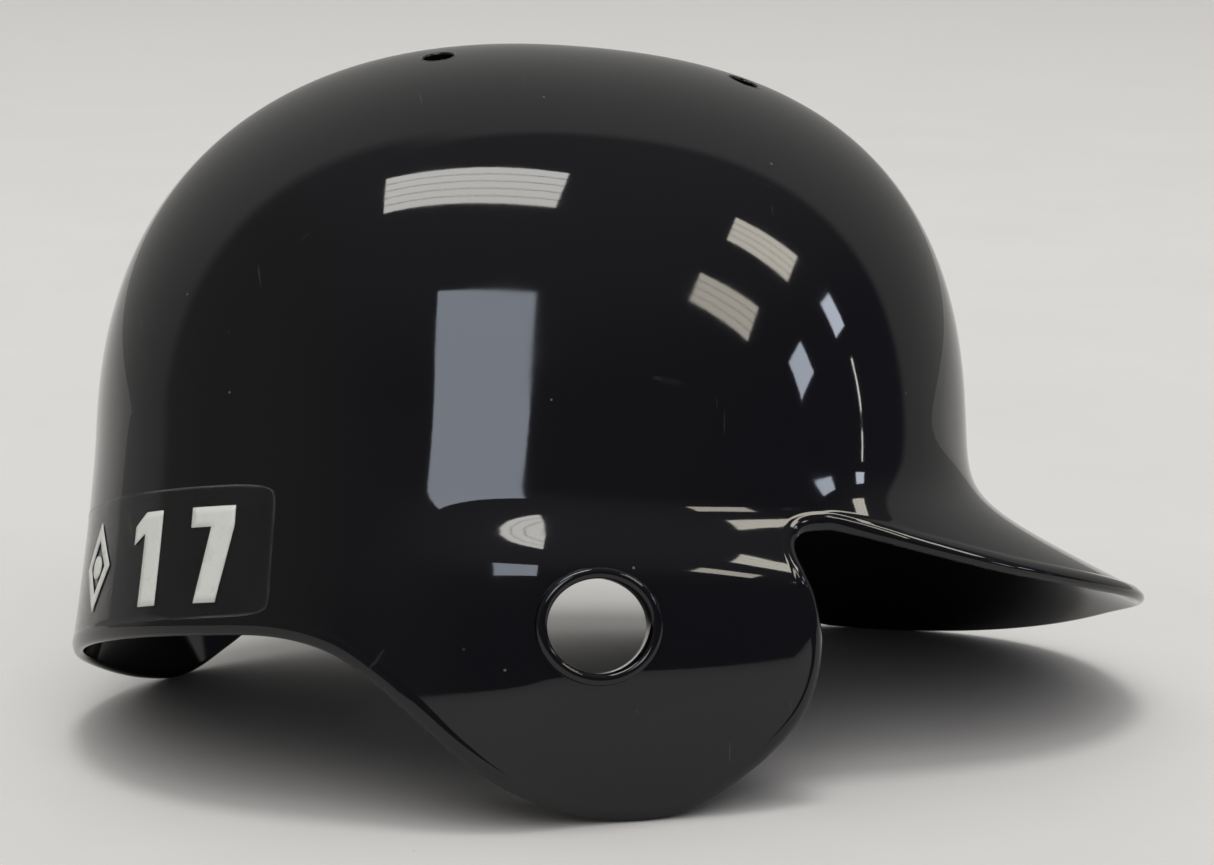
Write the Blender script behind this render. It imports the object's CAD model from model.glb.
"""Looks of a one-flap batting helmet that lies on a pale table.

Shell, foam, pads and graphics are drawn in the helmet's own wearing frame, in millimetres (X forward to the
bill, Y to the wearer's left, Z up from the belt line), and on_table() lays them down in the part's frame.
"""
import math

import bpy
import numpy as np
from mathutils import Matrix, Vector
from mathutils.bvhtree import BVHTree
from mathutils.geometry import delaunay_2d_cdt
from mathutils.kdtree import KDTree


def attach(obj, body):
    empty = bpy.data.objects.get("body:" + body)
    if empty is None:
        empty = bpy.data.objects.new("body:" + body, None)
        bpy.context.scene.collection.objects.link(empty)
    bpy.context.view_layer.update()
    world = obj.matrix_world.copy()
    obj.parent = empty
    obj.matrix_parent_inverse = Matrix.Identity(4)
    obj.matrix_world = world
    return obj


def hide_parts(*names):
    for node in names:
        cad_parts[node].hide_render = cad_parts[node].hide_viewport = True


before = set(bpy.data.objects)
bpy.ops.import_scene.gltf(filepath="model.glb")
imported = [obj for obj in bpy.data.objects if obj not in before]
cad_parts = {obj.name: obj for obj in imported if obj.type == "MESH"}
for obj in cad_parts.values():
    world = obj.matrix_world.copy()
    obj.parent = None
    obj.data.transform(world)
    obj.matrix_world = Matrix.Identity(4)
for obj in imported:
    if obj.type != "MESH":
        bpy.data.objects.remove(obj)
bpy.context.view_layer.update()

MM = 0.001

# ---------------------------------------------------------------- driving dimensions, as in the part
FRONT, REAR, HALF, PLAN_POWER = 125.2, 122.0, 94.9, 2.2
CROWN, CROWN_POWER, CROWN_LEAN = 114.3, 2.473, 6.4
WALL = 3.5
FLARE_OUT, FLARE_DROP, FLARE_POWER = 4.2, 60.5, 1.5
SKIRT = 100.0
CREASE, CREASE_DROP, CREASE_AT = -11.6, -7.7, 58.0
SLOPE, FADE, FADE_POWER, SOFT = 2.236, 1.18, 2.26, 4.5
BILL_ENDS, BILL_BLEND, FLAP_AT, FLAP_BLEND, FLAP_TOP, FLAP_DEPTH = 62.0, 16.0, 46.0, 8.0, -33.0, 14.0
BILL_START, BILL_LENGTH, BILL_HALF, BILL_POWER, BILL_SWEEP = 59.7, 119.6, 86.7, 2.38, 66.0
CUP_OUT, CUP_TOP, CUP_RISE = 6.0, -24.0, 22.0
CUP_FRONT, CUP_FRONT_BLEND, CUP_BACK, CUP_BACK_BLEND = 46.0, 16.0, 128.0, 28.0
TUCK_START, TUCK_RATE, TUCK_BACK, TUCK_BACK_BLEND = -46.0, 0.0043, 155.0, 22.0
ROLL, PITCH, HOME = -19.54, 5.35, (-21.918, 8.65, 72.9)

# Lower edge from the bill's left end round the back to its right end: edge azimuth, height, belt azimuth.
LEFT_EDGE = [
    (53, -24.5, 53), (62, -18.5, 62), (74, -14.5, 74), (88, -13.5, 88), (102, -17.5, 102),
    (115, -27.5, 115), (125, -39.5, 125), (132.5, -51, 133), (140, -60.5, 141), (149, -63, 150),
]
NAPE_EDGE = [(165, -61.5, 165), (181, -60.5, 181), (197, -60.5, 196), (211, -61, 209), (222, -62, 219)]
FLAP_EDGE = [
    (229.5, -66, 227), (235, -73, 234), (240, -81, 240), (247, -92, 247), (255, -100.5, 255),
    (266, -106, 266), (277, -107, 275.5), (285, -104.5, 283), (291, -99, 288.5), (297, -90, 293.5),
    (301.5, -79, 297), (303.3, -68, 299.2), (303.2, -58, 300.4), (301.8, -49, 301.2),
]
NOTCH_EDGE = [
    (300, -42, 301.4), (299.2, -35.5, 301.6), (300.6, -31, 303.2), (304, -29.3, 306), (308.5, -29.6, 309.5),
]

EAR_AZIMUTH, EAR_HEIGHT, EAR_WIDE, EAR_HIGH = 267.8, -58.5, 13.7, 12.0
EAR_BAND, EAR_PROUD = 2.9, 1.3
VENT_RADIUS, VENT_AZIMUTHS, VENT_PROFILE = 4.25, (47, 133, 227, 313), 0.373

GAP, SEAT, LINER, PATCH, PAD = 0.7, 0.6, 8.5, 1.2, 6.0
BLOCK_TOP = WALL + GAP
PATCH_TOP = BLOCK_TOP + LINER + SEAT
PAD_TOP = PATCH_TOP + PATCH + SEAT
PADS = {
    "front": ((-41, 41), (0.5, 1.07)),
    "left": ((54, 127), (0.5, 1.06)),
    "rear": ((141, 219), (0.5, 1.5)),
    "right": ((233, 306), (0.5, 1.16)),
}
CROWN_LONG, CROWN_WIDE, PAD_INSET = 0.3, 0.27, 0.9
PATCH_LONG, PATCH_HIGH, PATCH_AT = 0.3, 0.2, 0.42
CROWN_PATCH_LONG, CROWN_PATCH_AT, CROWN_PATCH_HALF = 0.22, 0.5, 0.5
EAR_PAD_AZIMUTH, EAR_PAD_HEIGHT, EAR_PAD_WIDE, EAR_PAD_HIGH, EAR_PAD_POWER = 270, -62, 25, 33, 2.6
EAR_PAD_GAP, EAR_LINER, EAR_CUSHION = 1.2, 6.0, 6.0
EAR_SPACE_WIDE, EAR_SPACE_HIGH = 14, 24

FILM_AZIMUTH, FILM_HEIGHT = (150, 222), (-57, -22.5)
FILM_OUT, FILM_IN = 0.2, 0.06
MARK_OUT, MARK_IN = 0.42, 0.24
NUMBER_HIGH, NUMBER_WIDE, STROKE, MARK_CENTRE = 25.0, 13.0, 6.4, -40.5
NUMBER_AZIMUTHS = (203.5, 213.3)
EMBLEM_AZIMUTH, EMBLEM_HIGH, EMBLEM_WIDE, EMBLEM_LINE, EMBLEM_BALL = 190, 24, 17, 3, 3.1

# How finely the shell is drawn, and the bead along its lower edge, which then rolls inward.
BILL_COLUMNS, EDGE_STEPS, DOME_ROWS, SKIRT_ROWS, NOSE_STEPS = 80, 8, 66, 40, 8
FLAP_COLUMNS, EAR_SIDES, VENT_SIDES = 90, 64, 32
COLLAR = np.array([0.6, 1.2, 1.8, 2.4, 3.0, 3.7])  # rows that follow the lower edge, for its bead
BEAD, BEAD_START, BEAD_RISE, ROLL_DEPTH, ROLL_REACH = 0.22, 4.3, 1.5, 0.75, 2.3
FLAP_SCALE = np.array([1.66, 100.0])  # millimetres to a degree and to a profile, near the flap
VENT_SCALE = np.array([1.1, 165.0])  # and near a vent
LATTICE_ACROSS, LATTICE_DOWN = 1.15, 1.8  # the flap's points, in degrees and millimetres
VENT_WINDOW, VENT_WINDOW_HIGH = 9.5, 0.062

# How the blocks, tape, pads and vinyl are made: depths and widths in millimetres, places along s and t.
GROOVE_AT, GROOVE_WIDE, GROOVE_DEEP, GROOVE_END = 0.36, 0.035, 0.30, 0.86
HOOK_ROOM = 0.45  # of the tape's thickness, in which the hooks stand
PAD_SKIN, PAD_ROOM = 0.5, 0.9  # kept free under and over a pad's foam, for it to swell into
PUFF_FRAMES, PUFF_PRESSURE = 20, 4.0
SEAMS, SEAM_END, SEAM_WIDE, SEAM_DEEP = (-0.36, 0.36), 0.86, 3.0, 2.4
BINDING, BINDING_DEEP, STITCH_LIFT, RIM_ROW, SEAM_ROW = 1.1, 1.5, 0.12, 0.84, 0.78
RING_SHARE, RING_BINDING_SHARE, RING_BINDING_DEEP, RING_ROWS, RING_REACH = 0.93, 0.95, 1.6, (0.26, 0.78), 35.0
FILM_CORNER, VINYL_STEP, VINYL_LATTICE = 14.0, 1.2, 1.5

# The same, in metres: what modifiers and node trees are given. Density is hooks to a square metre.
LINER_RADIUS, PAD_VOXEL, PAD_PUFF, RING_VOXEL, RING_PUFF = 0.0014, 0.0024, 0.0013, 0.0022, 0.0012
STITCHING = {"Pitch": 0.0030, "Stitch": 0.0021, "Thread": 0.00052}
HOOKS = {"Density": 400000.0, "Hook_Height": 0.0005, "Wire": 0.00011, "Seed": 4}


# ---------------------------------------------------------------- the shell's surface
def smooth(x):
    x = np.clip(x, 0.0, 1.0)
    return x * x * (3.0 - 2.0 * x)


def signed(azimuth):
    return (azimuth + 180.0) % 360.0 - 180.0


def plan_radius(azimuth):
    c = np.cos(np.radians(azimuth))
    s = np.sin(np.radians(azimuth))
    along = np.abs(c / np.where(c > 0, FRONT, REAR)) ** PLAN_POWER
    return (along + np.abs(s / HALF) ** PLAN_POWER) ** (-1.0 / PLAN_POWER)


def bill_reach(azimuth, height):
    """How far the bill's top stands out from the dome: a slope below a soft crease."""
    side = np.abs(signed(azimuth))
    swing = np.minimum(np.radians(side) * FADE, np.pi / 2)
    slope = SLOPE * np.cos(swing) ** FADE_POWER * smooth((BILL_ENDS - side) / BILL_BLEND)
    crease = CREASE + CREASE_DROP * (np.sin(np.radians(side)) / math.sin(math.radians(CREASE_AT))) ** 2
    depth = SOFT * np.logaddexp(0.0, (crease - height) / SOFT)
    flap = smooth((FLAP_TOP - height) / FLAP_DEPTH) * smooth((side - FLAP_AT) / FLAP_BLEND)
    return slope * depth * (1.0 - flap)


def cup_bulge(azimuth, height):
    """The cup over the right ear, and the tuck of the flap's lower end toward the neck."""
    right = -signed(azimuth)
    front = smooth((right - CUP_FRONT) / CUP_FRONT_BLEND)
    proud = CUP_OUT * smooth((CUP_TOP - height) / CUP_RISE) * smooth((CUP_BACK - right) / CUP_BACK_BLEND)
    tucked = smooth((TUCK_BACK - right) / TUCK_BACK_BLEND)
    tuck = TUCK_RATE * np.maximum(TUCK_START - height, 0.0) ** 2 * tucked
    return front * (proud - tuck)


def surface(azimuth, profile, plain=False):
    """Outer face. profile is 0 at the crown, 1 at the belt line and more down the skirt."""
    azimuth, profile = np.broadcast_arrays(np.asarray(azimuth, float), np.asarray(profile, float))
    turn = np.minimum(profile, 1.0) * (np.pi / 2)
    sine = np.abs(np.sin(turn))
    cosine = np.maximum(np.cos(turn), 0.0)
    size = (sine ** CROWN_POWER + cosine ** CROWN_POWER) ** (-1.0 / CROWN_POWER)
    height = np.where(profile < 1.0, CROWN * cosine * size, -(profile - 1.0) * SKIRT)
    back = np.maximum(-np.cos(np.radians(azimuth)), 0.0)
    flare = FLARE_OUT * back * (np.maximum(-height, 0.0) / FLARE_DROP) ** FLARE_POWER
    extra = 0.0 if plain else bill_reach(azimuth, height) + cup_bulge(azimuth, height)
    radius = plan_radius(azimuth) * sine * size + flare + extra * smooth(profile * 2.0)
    lean = CROWN_LEAN * (np.maximum(height, 0.0) / CROWN) ** 2
    x = radius * np.cos(np.radians(azimuth)) + lean
    return np.stack([x, radius * np.sin(np.radians(azimuth)), height], -1)


def unit(v):
    return v / np.maximum(np.linalg.norm(v, axis=-1, keepdims=True), 1e-12)


def normal(azimuth, profile, plain=False):
    azimuth, profile = np.broadcast_arrays(np.asarray(azimuth, float), np.asarray(profile, float))
    step = 0.002
    turn = 60 * step
    across = surface(azimuth + turn, profile, plain) - surface(azimuth - turn, profile, plain)
    down = surface(azimuth, profile + step, plain) - surface(azimuth, profile - step, plain)
    return np.where((profile < 0.01)[..., None], (0.0, 0.0, 1.0), unit(np.cross(down, across)))


def layer(azimuth, profile, depth, plain=False):
    """A point sunk below the outer face by depth."""
    sunk = normal(azimuth, profile, plain) * np.asarray(depth, float)[..., None]
    return surface(azimuth, profile, plain) - sunk


def profile_at(height):
    return 1.0 - np.asarray(height, float) / SKIRT


def laying():
    r, p = math.radians(ROLL), math.radians(PITCH)
    pitched = np.array([[math.cos(p), 0, math.sin(p)], [0, 1, 0], [-math.sin(p), 0, math.cos(p)]])
    rolled = np.array([[1, 0, 0], [0, math.cos(r), -math.sin(r)], [0, math.sin(r), math.cos(r)]])
    return pitched @ rolled


TURN = laying()


def on_table(points):
    """Millimetres in the wearing frame to metres in the part's frame."""
    return (np.asarray(points, float) @ TURN.T + HOME) * MM


def off_table(points):
    return (np.asarray(points, float) / MM - HOME) @ TURN


# ---------------------------------------------------------------- mesh helpers
def link(obj):
    bpy.context.scene.collection.objects.link(obj)
    return obj


def smooth_faces(mesh):
    mesh.polygons.foreach_set("use_smooth", [True] * len(mesh.polygons))


def vertex_array(mesh):
    co = np.empty(len(mesh.vertices) * 3)
    mesh.vertices.foreach_get("co", co)
    return co.reshape(-1, 3)


def written(mesh, name, kind, field, values):
    """Writes one value for each point of the mesh, for a material to read."""
    attribute = mesh.attributes.new(name, kind, "POINT")
    attribute.data.foreach_set(field, values)


def nearest_tree(points):
    tree = KDTree(len(points))
    for i, point in enumerate(points):
        tree.insert(point, i)
    tree.balance()
    return tree


def facing_out(points, faces):
    """The faces, turned round as a whole if the closed shape is inside out."""
    triangles = np.array([(f[0], f[k], f[k + 1]) for f in faces for k in range(1, len(f) - 1)])
    a, b, c = (points[triangles[:, k]] for k in range(3))
    volume = np.einsum("ij,ij->i", a, np.cross(b, c)).sum()
    return faces if volume > 0 else [tuple(reversed(f)) for f in faces]


def mesh_of(name, points, faces, normals=None):
    """A smooth mesh of wearing-frame points, laid on the table."""
    mesh = bpy.data.meshes.new(name)
    mesh.from_pydata(on_table(points).tolist(), [], [tuple(int(i) for i in f) for f in faces])
    smooth_faces(mesh)
    mesh.update()
    if normals is not None:
        mesh.normals_split_custom_set_from_vertices((normals @ TURN.T).tolist())
    return mesh


def piece(name, mesh, finish, slot, *nodes):
    """A finished piece: its material, its place in the table of pieces and the CAD nodes it stands for."""
    obj = link(bpy.data.objects.new(name, mesh))
    mesh.materials.clear()
    mesh.materials.append(finish)
    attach(obj, "root")
    if nodes:
        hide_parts(*nodes)
    return obj


def baked(obj):
    """The object's evaluated mesh, free of modifiers."""
    graph = bpy.context.evaluated_depsgraph_get()
    mesh = bpy.data.meshes.new_from_object(obj.evaluated_get(graph), depsgraph=graph)
    bpy.data.objects.remove(obj)
    return mesh


def ring_faces(around, section):
    """Quads of a closed tube: around sections of section points each."""
    return [
        (i * section + k, i * section + (k + 1) % section,
         ((i + 1) % around) * section + (k + 1) % section, ((i + 1) % around) * section + k)
        for i in range(around) for k in range(section)
    ]


def block(place, outer, inner, across, down, plain=True, swell=None):
    """Points and faces of a closed block between two depths; place(s, t) gives azimuth and profile."""
    s, t = np.meshgrid(np.linspace(-1, 1, across + 1), np.linspace(-1, 1, down + 1))
    azimuth, profile = place(s, t)
    deep = inner if swell is None else outer + (inner - outer) * swell(s, t)
    depths = (np.full(s.shape, outer), np.broadcast_to(deep, s.shape))
    points = np.concatenate([layer(azimuth, profile, depth, plain).reshape(-1, 3) for depth in depths])
    wide = across + 1
    sheet_size = wide * (down + 1)
    faces = []
    for j in range(down):
        for i in range(across):
            a = j * wide + i
            b = sheet_size + a
            faces.append((a, a + wide, a + wide + 1, a + 1))
            faces.append((b, b + 1, b + wide + 1, b + wide))
    rim = list(range(wide)) + [j * wide + across for j in range(1, down + 1)]
    rim += [down * wide + i for i in range(across - 1, -1, -1)] + [j * wide for j in range(down - 1, 0, -1)]
    for a, b in zip(rim, rim[1:] + rim[:1]):
        faces.append((a, b, sheet_size + b, sheet_size + a))
    return points, facing_out(points, faces)


# ---------------------------------------------------------------- outer shell
def bill_edge(sweep):
    """Where the bill's face meets its outline, found by halving the height between two limits."""
    power = 2.0 / BILL_POWER
    x = BILL_START + BILL_LENGTH * np.cos(np.radians(sweep)) ** power
    y = BILL_HALF * np.sign(sweep) * np.abs(np.sin(np.radians(sweep))) ** power
    azimuth = np.degrees(np.arctan2(y, x))
    reach = np.hypot(x, y)
    low = np.full(azimuth.shape, -70.0)
    high = np.full(azimuth.shape, 10.0)
    for _ in range(40):
        middle = (low + high) / 2
        point = surface(azimuth, profile_at(middle))
        beyond = np.hypot(point[:, 0], point[:, 1]) > reach
        low = np.where(beyond, middle, low)
        high = np.where(beyond, high, middle)
    return np.stack([azimuth, (low + high) / 2, azimuth], -1)


def through(knots, steps):
    """A smooth curve through the knots, steps points to a span; it leaves out the first and last span."""
    points = []
    for a, b, c, d in zip(knots[:-3], knots[1:-2], knots[2:-1], knots[3:]):
        for t in np.arange(steps) / steps:
            bend = (2 * a - 5 * b + 4 * c - d) * t ** 2 + (3 * b - a - 3 * c + d) * t ** 3
            points.append(0.5 * (2 * b + (c - a) * t + bend))
    return np.array(points)


def lower_edge():
    """Edge azimuth, height and belt azimuth all round, with the two columns that bound the flap."""
    bill = bill_edge(BILL_SWEEP * np.linspace(-1, 1, BILL_COLUMNS + 1))
    ends = bill_edge(BILL_SWEEP * np.array([0.9, 1.0, -1.0, -0.9]))
    turn = np.array([360.0, 0.0, 360.0])
    hand = np.array(LEFT_EDGE + NAPE_EDGE + FLAP_EDGE + NOTCH_EDGE, float)
    curve = through(np.vstack([ends[:2], hand, ends[2:] + turn]), EDGE_STEPS)
    flap_from = BILL_COLUMNS + EDGE_STEPS * (len(LEFT_EDGE) + len(NAPE_EDGE) - 1)
    flap_to = BILL_COLUMNS + EDGE_STEPS * len(hand) + EDGE_STEPS // 2
    return np.vstack([bill[:-1], curve]), flap_from, flap_to


def edge_nose(edge, inset_by=WALL / 2):
    """Where the outer face ends, and the direction in which the wall's round nose stands out there."""
    rim = surface(edge[:, 0], profile_at(edge[:, 1]))
    out = normal(edge[:, 0], profile_at(edge[:, 1]))
    along = unit(np.roll(rim, -1, 0) - np.roll(rim, 1, 0))
    away = unit(np.cross(along, out))
    inset = rim - away * inset_by
    azimuth = edge[:, 0] + signed(np.degrees(np.arctan2(inset[:, 1], inset[:, 0])) - edge[:, 0])
    return azimuth, inset[:, 2], away


def hole_frame(azimuth, profile):
    """Origin, forward, up and outward of a frame on the outer face."""
    out = normal(azimuth, profile)
    along = surface(azimuth + 0.5, profile) - surface(azimuth - 0.5, profile)
    up = unit(np.cross(out, unit(along)))
    return surface(azimuth, profile), np.cross(up, out), up, out


def locate(azimuth, profile, x, y):
    """Azimuth and profile of the surface points that lie x ahead of and y above a hole's centre."""
    origin, forward, up, _ = hole_frame(azimuth, profile)
    a = np.full(np.shape(x), float(azimuth))
    p = np.full(np.shape(x), float(profile))
    step_a, step_p = 0.05, 0.0005
    for _ in range(7):
        here = surface(a, p) - origin
        by_a = (surface(a + step_a, p) - origin - here) / step_a
        by_p = (surface(a, p + step_p) - origin - here) / step_p
        miss_x, miss_y = here @ forward - x, here @ up - y
        xa, xp, ya, yp = by_a @ forward, by_p @ forward, by_a @ up, by_p @ up
        det = xa * yp - xp * ya
        a = a - (miss_x * yp - xp * miss_y) / det
        p = p - (xa * miss_y - miss_x * ya) / det
    return a, p


def inside(points, loop):
    """Even-odd test of flat points against a closed loop."""
    x, y = points[:, 0:1], points[:, 1:2]
    x0, y0 = loop[:, 0], loop[:, 1]
    x1, y1 = np.roll(x0, -1), np.roll(y0, -1)
    crosses = (y0 > y) != (y1 > y)
    rise = np.where(np.abs(y1 - y0) < 1e-12, 1e-12, y1 - y0)
    return (crosses & (x < (x1 - x0) * (y - y0) / rise + x0)).sum(1) % 2 == 1


def away_from(points, loop, gap):
    """Which flat points are further than gap from a closed loop."""
    start, step = loop, np.roll(loop, -1, 0) - loop
    share = ((points[:, None] - start) * step).sum(-1) / np.maximum((step ** 2).sum(-1), 1e-12)
    nearest = start + np.clip(share, 0, 1)[..., None] * step
    return np.linalg.norm(points[:, None] - nearest, axis=-1).min(1) > gap


def clockwise(a, b, c):
    """Whether flat triangles turn clockwise."""
    return (b - a)[..., 0] * (c - a)[..., 1] - (b - a)[..., 1] * (c - a)[..., 0] < 0


class Sheet:
    """The shell's outer face as azimuth and profile stations, with its faces and its open loops."""

    def __init__(self):
        self.stations = [(0.0, 0.0)]
        self.faces = []
        self.loops = []

    def add(self, azimuth, profile):
        first = len(self.stations)
        self.stations += list(zip(np.ravel(azimuth).tolist(), np.ravel(profile).tolist()))
        return list(range(first, len(self.stations)))

    def patch(self, border, hole, inner, scale):
        """Fills a border of stations with triangles round a hole, through the inner stations given."""
        hole_ids = self.add(*hole)
        flat = lambda ids: np.array([self.stations[i] for i in ids]) * scale
        outline, opening = flat(border), flat(hole_ids)
        grid = np.stack([np.ravel(inner[0]), np.ravel(inner[1])], -1)
        spread = grid * scale
        keep = inside(spread, outline) & ~inside(spread, opening)
        keep &= away_from(spread, outline, 0.42) & away_from(spread, opening, 0.9)
        inner_ids = self.add(grid[keep, 0], grid[keep, 1])
        ids = border + hole_ids + inner_ids
        places = flat(ids)
        rings = [(0, len(border)), (len(border), len(hole_ids))]
        edges = [(start + k, start + (k + 1) % count) for start, count in rings for k in range(count)]
        made = delaunay_2d_cdt([Vector(p) for p in places], edges, [], 0, 1e-7, True)
        back = [ids[origins[0]] for origins in made[3]]
        corners = np.array([[back[i] for i in face] for face in made[2]])
        centres = np.array([flat(face).mean(0) for face in corners])
        kept = corners[inside(centres, outline) & ~inside(centres, opening)]
        for face in kept:  # profile grows downwards, so a face that looks clockwise here faces out
            self.faces.append(tuple(face) if clockwise(*flat(face)) else tuple(face[::-1]))
        self.loops.append(hole_ids)


def oval(wide, high, count):
    turn = np.arange(count) * 2 * np.pi / count
    return wide * np.cos(turn), high * np.sin(turn)


def vent_windows(belts):
    """The columns and rows of the dome that are left open round each vent."""
    windows = {}
    for azimuth in VENT_AZIMUTHS:
        near = [i for i in range(len(belts)) if abs(signed(belts[i] - azimuth)) < VENT_WINDOW]
        near.sort(key=lambda i: signed(belts[i] - azimuth))
        rows = [j for j in range(DOME_ROWS) if abs((j + 1) / DOME_ROWS - VENT_PROFILE) < VENT_WINDOW_HIGH]
        windows[azimuth] = (near, rows)
    return windows


def dome_faces(sheet, dome, windows):
    """The crown's fan and the rows below it, without the vents' windows."""
    covered = {(j, i) for near, rows in windows.values() for j in rows[:-1] for i in near[:-1]}
    columns = len(dome[0])
    for i in range(columns):
        k = (i + 1) % columns
        sheet.faces.append((0, dome[0][i], dome[0][k]))
        for j in range(DOME_ROWS - 1):
            if (j, i) not in covered:
                sheet.faces.append((dome[j][i], dome[j + 1][i], dome[j + 1][k], dome[j][k]))


def skirt_columns(sheet, belt, edge, drawn, end_azimuth, end_height):
    """Columns of stations from the belt line to the lower edge, with collar rows along the edge."""
    skirt = []
    for place, i in enumerate(drawn):
        ends = surface(np.array([edge[i, 2], end_azimuth[i]]), profile_at([0.0, end_height[i]]))
        length = np.linalg.norm(ends[1] - ends[0])
        collar = 1.0 - np.append(COLLAR[::-1], 0.0) / length
        rows = np.arange(1, SKIRT_ROWS + 1) / SKIRT_ROWS * (collar[0] - 0.01)
        share = np.concatenate([rows, collar])
        azimuth = edge[i, 2] + (end_azimuth[i] - edge[i, 2]) * share ** 2
        skirt.append([belt[place]] + sheet.add(azimuth, profile_at(end_height[i] * share)))
    for left, right in zip(skirt[:-1], skirt[1:]):
        for j in range(SKIRT_ROWS + len(COLLAR) + 1):
            sheet.faces.append((left[j], left[j + 1], right[j + 1], right[j]))
    return skirt


def flap_stations(edge, flap_from, flap_to, end_azimuth, end_height):
    """Azimuths and profiles inside the flap: a lattice of triangles, then rows that follow its edge."""
    a, h = np.meshgrid(np.arange(208.0, 319.0, LATTICE_ACROSS), np.arange(-1.7, -107.0, -LATTICE_DOWN))
    a = (a + LATTICE_ACROSS / 2 * (np.arange(a.shape[0]) % 2)[:, None]).ravel()
    h = h.ravel()
    degree = FLAP_SCALE[0]
    flap_edge = np.stack([end_azimuth, end_height], -1)[flap_from:flap_to + 1] * (degree, 1.0)
    flat = np.stack([a * degree, h], -1)
    clear = np.array([np.linalg.norm(flap_edge - spot, axis=1).min() > COLLAR[-1] + 0.9 for spot in flat])
    azimuths, heights = [a[clear]], [h[clear]]
    rim = slice(flap_from + 1, flap_to)
    for reach in COLLAR:
        ring_azimuth, ring_height, _ = edge_nose(edge, WALL / 2 + reach)
        azimuths.append(ring_azimuth[rim])
        heights.append(ring_height[rim])
    return np.concatenate(azimuths), profile_at(np.concatenate(heights))


def vent_patches(sheet, dome, windows):
    """Fills each vent's window round its hole."""
    for azimuth, (near, rows) in windows.items():
        border = [dome[rows[0]][i] for i in near] + [dome[j][near[-1]] for j in rows[1:]]
        border += [dome[rows[-1]][i] for i in near[-2::-1]] + [dome[j][near[0]] for j in rows[-2:0:-1]]
        hole, *rings = [
            locate(azimuth, VENT_PROFILE, *oval(VENT_RADIUS + r, VENT_RADIUS + r, VENT_SIDES))
            for r in (0.3, 1.7, 3.4)
        ]
        inner = [np.concatenate([ring[k] for ring in rings]) for k in range(2)]
        sheet.patch(border, hole, inner, VENT_SCALE)


def outer_sheet():
    """The outer face with its holes; also the loop of its lower edge and that loop's outward direction."""
    edge, flap_from, flap_to = lower_edge()
    end_azimuth, end_height, away = edge_nose(edge)
    sheet = Sheet()
    count = len(edge)
    drawn = [i % count for i in range(flap_to, count + flap_from + 1)]
    flap_tops = np.linspace(edge[flap_from, 2], edge[flap_to, 2], FLAP_COLUMNS + 2)[1:-1]
    belts = np.concatenate([edge[drawn, 2] % 360.0, flap_tops])
    dome = [sheet.add(belts, np.full(len(belts), j / DOME_ROWS)) for j in range(1, DOME_ROWS + 1)]
    windows = vent_windows(belts)
    dome_faces(sheet, dome, windows)
    skirt = skirt_columns(sheet, dome[-1], edge, drawn, end_azimuth, end_height)
    flap_rim = list(range(flap_from + 1, flap_to))
    rim_ids = sheet.add(end_azimuth[flap_rim], profile_at(end_height[flap_rim]))
    for ids in (skirt[0], skirt[-1]):  # these columns are met from the flap's side at azimuths past 180
        for i in ids:
            sheet.stations[i] = (sheet.stations[i][0] % 360.0, sheet.stations[i][1])
    tops = dome[-1][len(drawn):]
    border = tops + skirt[0] + rim_ids[::-1] + skirt[-1][::-1]
    ear = locate(EAR_AZIMUTH, float(profile_at(EAR_HEIGHT)), *oval(EAR_WIDE + 0.6, EAR_HIGH + 0.6, EAR_SIDES))
    sheet.patch(border, ear, flap_stations(edge, flap_from, flap_to, end_azimuth, end_height), FLAP_SCALE)
    vent_patches(sheet, dome, windows)
    rim_loop = [column[-1] for column in skirt] + rim_ids
    return sheet, rim_loop, away[drawn + flap_rim]


def lip(azimuth, profile, wide, high, section, follow, around=72):
    """A moulded lip round a hole: section gives (out from the hole's edge, height over the face) points."""
    turn = np.arange(around) * 2 * np.pi / around
    origin, forward, up, out = hole_frame(azimuth, profile)
    rings = []
    for reach, rise in section:
        x, y = (wide + reach) * np.cos(turn), (high + reach) * np.sin(turn)
        if follow:
            rings.append(layer(*locate(azimuth, profile, x, y), np.full(around, -rise)))
        else:
            rings.append(origin + x[:, None] * forward + y[:, None] * up + rise * out)
    points = np.stack(rings, 1).reshape(-1, 3)
    return points, facing_out(points - points.mean(0), ring_faces(around, len(section)))


def ear_section():
    """Section of the ear hole's ring: its bore, a round bead over the top, and a side down into the wall."""
    turn = np.linspace(np.pi, 0, 9)
    half = EAR_BAND / 2
    crest = [(half + half * math.cos(a), EAR_PROUD - 0.95 + 0.95 * math.sin(a)) for a in turn]
    foot = [(EAR_BAND + 0.12, -0.6), (EAR_BAND + 0.1, -1.6), (EAR_BAND - 0.9, -2.6), (1.2, -3.2), (1.1, -5.0)]
    return [(0.15, -5.2), (0.0, -4.9)] + crest + foot + [(0.7, -5.35)]


def vent_section():
    """Section of a vent: its bore, a rounded corner and a short flange let into the wall."""
    turn = np.linspace(np.pi, np.pi / 2, 6)
    crest = [(0.55 + 0.55 * math.cos(a), -0.53 + 0.55 * math.sin(a)) for a in turn]
    return [(0.0, -WALL - 0.1)] + crest + [(0.9, 0.0), (0.9, -0.4), (0.5, -1.2), (0.5, -WALL - 0.1)]


def bead_profile(reach):
    """Height over the plain face, and how steeply that falls toward the edge, at a distance from the edge."""
    t = np.clip((BEAD_START - reach) / BEAD_RISE, 0.0, 1.0)
    left = max(0.0, 1.0 - reach / ROLL_REACH)
    height = BEAD * t * t * (3 - 2 * t) - ROLL_DEPTH * left ** 2
    return height, 2 * ROLL_DEPTH / ROLL_REACH * left - BEAD / BEAD_RISE * 6 * t * (1 - t)


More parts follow.
